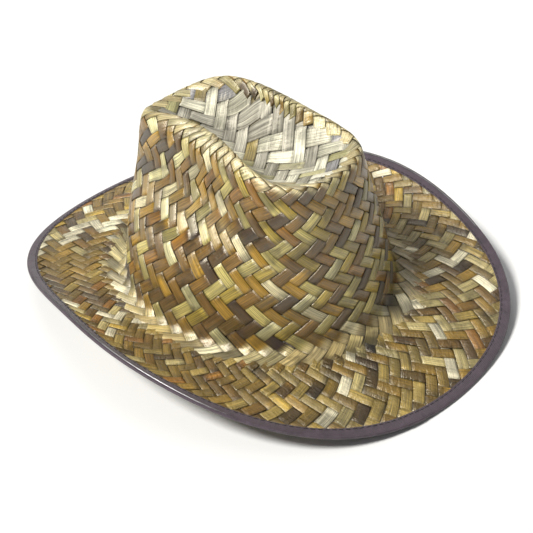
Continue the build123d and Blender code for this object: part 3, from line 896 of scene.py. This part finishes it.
def thread_material(name, colour):
    """Twisted sewing thread."""
    material, tree, shader = new_material(name)
    link = tree.links.new
    marks = node(tree, "ShaderNodeUVMap", uv_map="strip")
    paint = node(tree, "ShaderNodeAttribute", attribute_name="straw")
    twist = node(tree, "ShaderNodeTexWave", in_Scale=2.2, in_Distortion=0.6, in_Detail=1.0)
    twist.bands_direction = "DIAGONAL"
    link(marks.outputs["UV"], twist.inputs["Vector"])
    base = node(tree, "ShaderNodeRGB")
    base.outputs[0].default_value = (*srgb(colour), 1)
    shade = multiply(tree, base.outputs[0], paint.outputs["Color"])
    shade = multiply(tree, shade, ramp(tree, twist.outputs["Fac"], ((0.2, 0.6), (0.8, 1.15))))
    link(shade, shader.inputs["Base Color"])
    link(ramp(tree, twist.outputs["Fac"], ((0.0, 0.6), (1.0, 0.42))), shader.inputs["Roughness"])
    bump = node(tree, "ShaderNodeBump", in_Strength=0.7, in_Distance=0.0001)
    link(twist.outputs["Fac"], bump.inputs["Height"])
    link(bump.outputs["Normal"], shader.inputs["Normal"])
    return material


def metal_material(name, colour, scale, low, high):
    """Drawn or crimped metal with fine scratches."""
    material, tree, shader = new_material(name)
    link = tree.links.new
    place = node(tree, "ShaderNodeTexCoord")
    grain = node(tree, "ShaderNodeTexNoise", in_Scale=scale, in_Detail=5.0, in_Roughness=0.7)
    link(place.outputs["Object"], grain.inputs["Vector"])
    base = node(tree, "ShaderNodeRGB")
    base.outputs[0].default_value = (*srgb(colour), 1)
    shade = multiply(tree, base.outputs[0], ramp(tree, grain.outputs["Fac"], ((0.3, 0.75), (0.7, 1.1))))
    link(shade, shader.inputs["Base Color"])
    link(ramp(tree, grain.outputs["Fac"], ((0.3, low), (0.7, high))), shader.inputs["Roughness"])
    bump = node(tree, "ShaderNodeBump", in_Strength=0.3, in_Distance=0.0001)
    link(grain.outputs["Fac"], bump.inputs["Height"])
    link(bump.outputs["Normal"], shader.inputs["Normal"])
    shader.inputs["Metallic"].default_value = 1.0
    return material


# ---- Camera, floor and light --------------------------------------------------
VIEW_AZIMUTH = math.radians(134.6)
VIEW_ELEVATION = math.radians(33.52)
VIEW_ROLL = math.radians(2.97)
VIEW_DISTANCE = 0.846
VIEW_LENS = 86.4
VIEW_AIM = Vector((0, CENTRE.y, 0.062))
VIEW_SHIFT = (0.0175, -0.103)


def add_camera():
    data = bpy.data.cameras.new("camera")
    data.sensor_width = 36.0
    data.lens = VIEW_LENS
    data.shift_x, data.shift_y = VIEW_SHIFT
    data.clip_start = 0.05
    camera = bpy.data.objects.new("camera", data)
    bpy.context.scene.collection.objects.link(camera)
    flat = math.cos(VIEW_ELEVATION)
    back = Vector((math.sin(VIEW_AZIMUTH) * flat, -math.cos(VIEW_AZIMUTH) * flat, math.sin(VIEW_ELEVATION)))
    right = (-back).cross(Vector((0, 0, 1))).normalized()
    upward = right.cross(-back)
    c, s = math.cos(VIEW_ROLL), math.sin(VIEW_ROLL)
    right, upward = right * c - upward * s, right * s + upward * c
    turn = Matrix((right, upward, back)).transposed().to_4x4()
    camera.matrix_world = Matrix.Translation(VIEW_AIM + back * VIEW_DISTANCE) @ turn
    bpy.context.scene.camera = camera


def add_sun(name, way, strength, width, colour):
    """Soft light from a direction; width is its apparent size in degrees."""
    data = bpy.data.lights.new(name, "SUN")
    data.energy = strength
    data.angle = math.radians(width)
    data.color = colour
    light = bpy.data.objects.new(name, data)
    bpy.context.scene.collection.objects.link(light)
    light.location = way
    light.rotation_euler = Vector(way).to_track_quat("Z", "Y").to_euler()


def add_stage():
    mesh = bpy.data.meshes.new("floor")
    half = 6.0
    mesh.from_pydata([(-half, -half, 0), (half, -half, 0), (half, half, 0), (-half, half, 0)], [],
                     [(0, 1, 2, 3)])
    floor = bpy.data.objects.new("floor", mesh)
    bpy.context.scene.collection.objects.link(floor)
    material, _, shader = new_material("floor_white")
    shader.inputs["Base Color"].default_value = (0.86, 0.86, 0.86, 1)
    shader.inputs["Roughness"].default_value = 0.9
    mesh.materials.append(material)
    world = bpy.data.worlds.new("studio")
    bpy.context.scene.world = world
    world.use_nodes = True
    world.node_tree.nodes["Background"].inputs["Color"].default_value = (1, 1, 1, 1)
    world.node_tree.nodes["Background"].inputs["Strength"].default_value = 0.20
    bpy.context.scene.view_settings.view_transform = "Standard"
    add_sun("key", (0.78, -0.30, 1.08), 3.9, 16, (1.0, 0.99, 0.95))
    add_sun("over", (-0.30, 0.15, 1.2), 0.2, 30, (1.0, 1.0, 1.0))
    add_sun("back", (-0.45, -0.75, 1.0), 0.35, 25, (1.0, 1.0, 1.0))


# ---- Put the hat together -----------------------------------------------------
def place_piece(piece, slot_name, *nodes):
    """Hides the CAD nodes a piece stands for and puts the piece on its body; slot_name is not used."""
    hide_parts(*nodes)
    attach(piece, "root")
    return piece


CROWN_STRAW = straw_material("crown_straw", 0.31, wrinkles=0.3)
BRIM_STRAW = straw_material("brim_straw", 0.28, wrinkles=0.85)
TOP_STRAW = straw_material("top_straw", 0.42, spots=0.6, wrinkles=0.35)
FOOT_APRON_ROWS = 10        # the crown's strips run this far out over the brim
CREST_OVER_ROWS = 9         # and this far over the crest
BRIM_UNDER_ROWS = 5.5       # the brim's strips run on this far under the crown's
crown = Lattice(FOOT_STRIPS, CROWN_STRIP_WIDTH, BRIM_ROWS - FOOT_APRON_ROWS,
                BRIM_ROWS + CROWN_ROWS + CREST_OVER_ROWS, 0.965)
brim = Lattice(BRIM_STRIPS, BRIM_STRIP_WIDTH, 0, BRIM_ROWS - FOOT_APRON_ROWS + BRIM_UNDER_ROWS, 0.95)
weaves = (("crown_side", crown.weave("crown", SIDE_COLOURS, CROWN_STRAW, ragged=(1.2, 1.5))),
          ("brim", brim.weave("brim", BRIM_COLOURS, BRIM_STRAW)),
          ("crown_top", weave_top(TOP_STRAW)))
for node_name, leans in weaves:
    for piece in leans:
        place_piece(piece, "straw", node_name)

TAPE_CLOTH = cloth_material("tape_cloth", "4A3D47", (0.7 * MM, 0.9 * MM), 0.5, 0.3)
TAPE_THREAD = thread_material("tape_thread", "231A20")
BAND_CLOTH = cloth_material("band_cloth", "40363A", (1.0 * MM, 1.0 * MM), 0.72, 0.2)
BAND_THREAD = thread_material("band_thread", "8C8078")

tape, tape_width = make_tape(TAPE_CLOTH)
place_piece(tape, "binding_cloth", "edge_binding")
for side, word in ((1, "top"), (-1, "under")):
    seam = tape_stitches(side, TAPE_THREAD, f"edge_stitches_{word}")
    place_piece(seam, "binding_thread", f"binding_thread_{word}")
around = BACK_TURN + np.linspace(BAND_OPENING / 2, 1 - BAND_OPENING / 2, 400)
sweatband, band_length = band("sweatband_cloth", around, BAND_LOW, BAND_HIGH, BAND_DEPTH, BAND_SKIN,
                              BAND_CLOTH, 0.12 * MM)
place_piece(sweatband, "sweatband_cloth", "sweatband")
tab_turns = BACK_TURN + np.linspace(-JOIN_HALF, JOIN_HALF, 15) / FOOT_LENGTH
tab, tab_length = band("sweatband_tab", tab_turns, BAND_LOW, TAB_HIGH,
                       BAND_DEPTH + BAND_SKIN * 1.35, JOIN_SKIN, BAND_CLOTH)
place_piece(tab, "sweatband_cloth", "sweatband_join")
band_seam = place_piece(band_stitches("band_stitches", BAND_THREAD), "sweatband_thread", "sweatband_thread")
tab_seams = place_piece(join_stitches("tab_stitches", BAND_THREAD), "sweatband_thread", "join_threads")
for node_name, material in (("brim_wire", metal_material("wire_steel", "9A9A9C", 900.0, 0.28, 0.5)),
                            ("wire_ferrule", metal_material("ferrule_metal", "B8B8BA", 500.0, 0.25, 0.45))):
    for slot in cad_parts[node_name].material_slots:
        slot.material = material

add_camera()
add_stage()
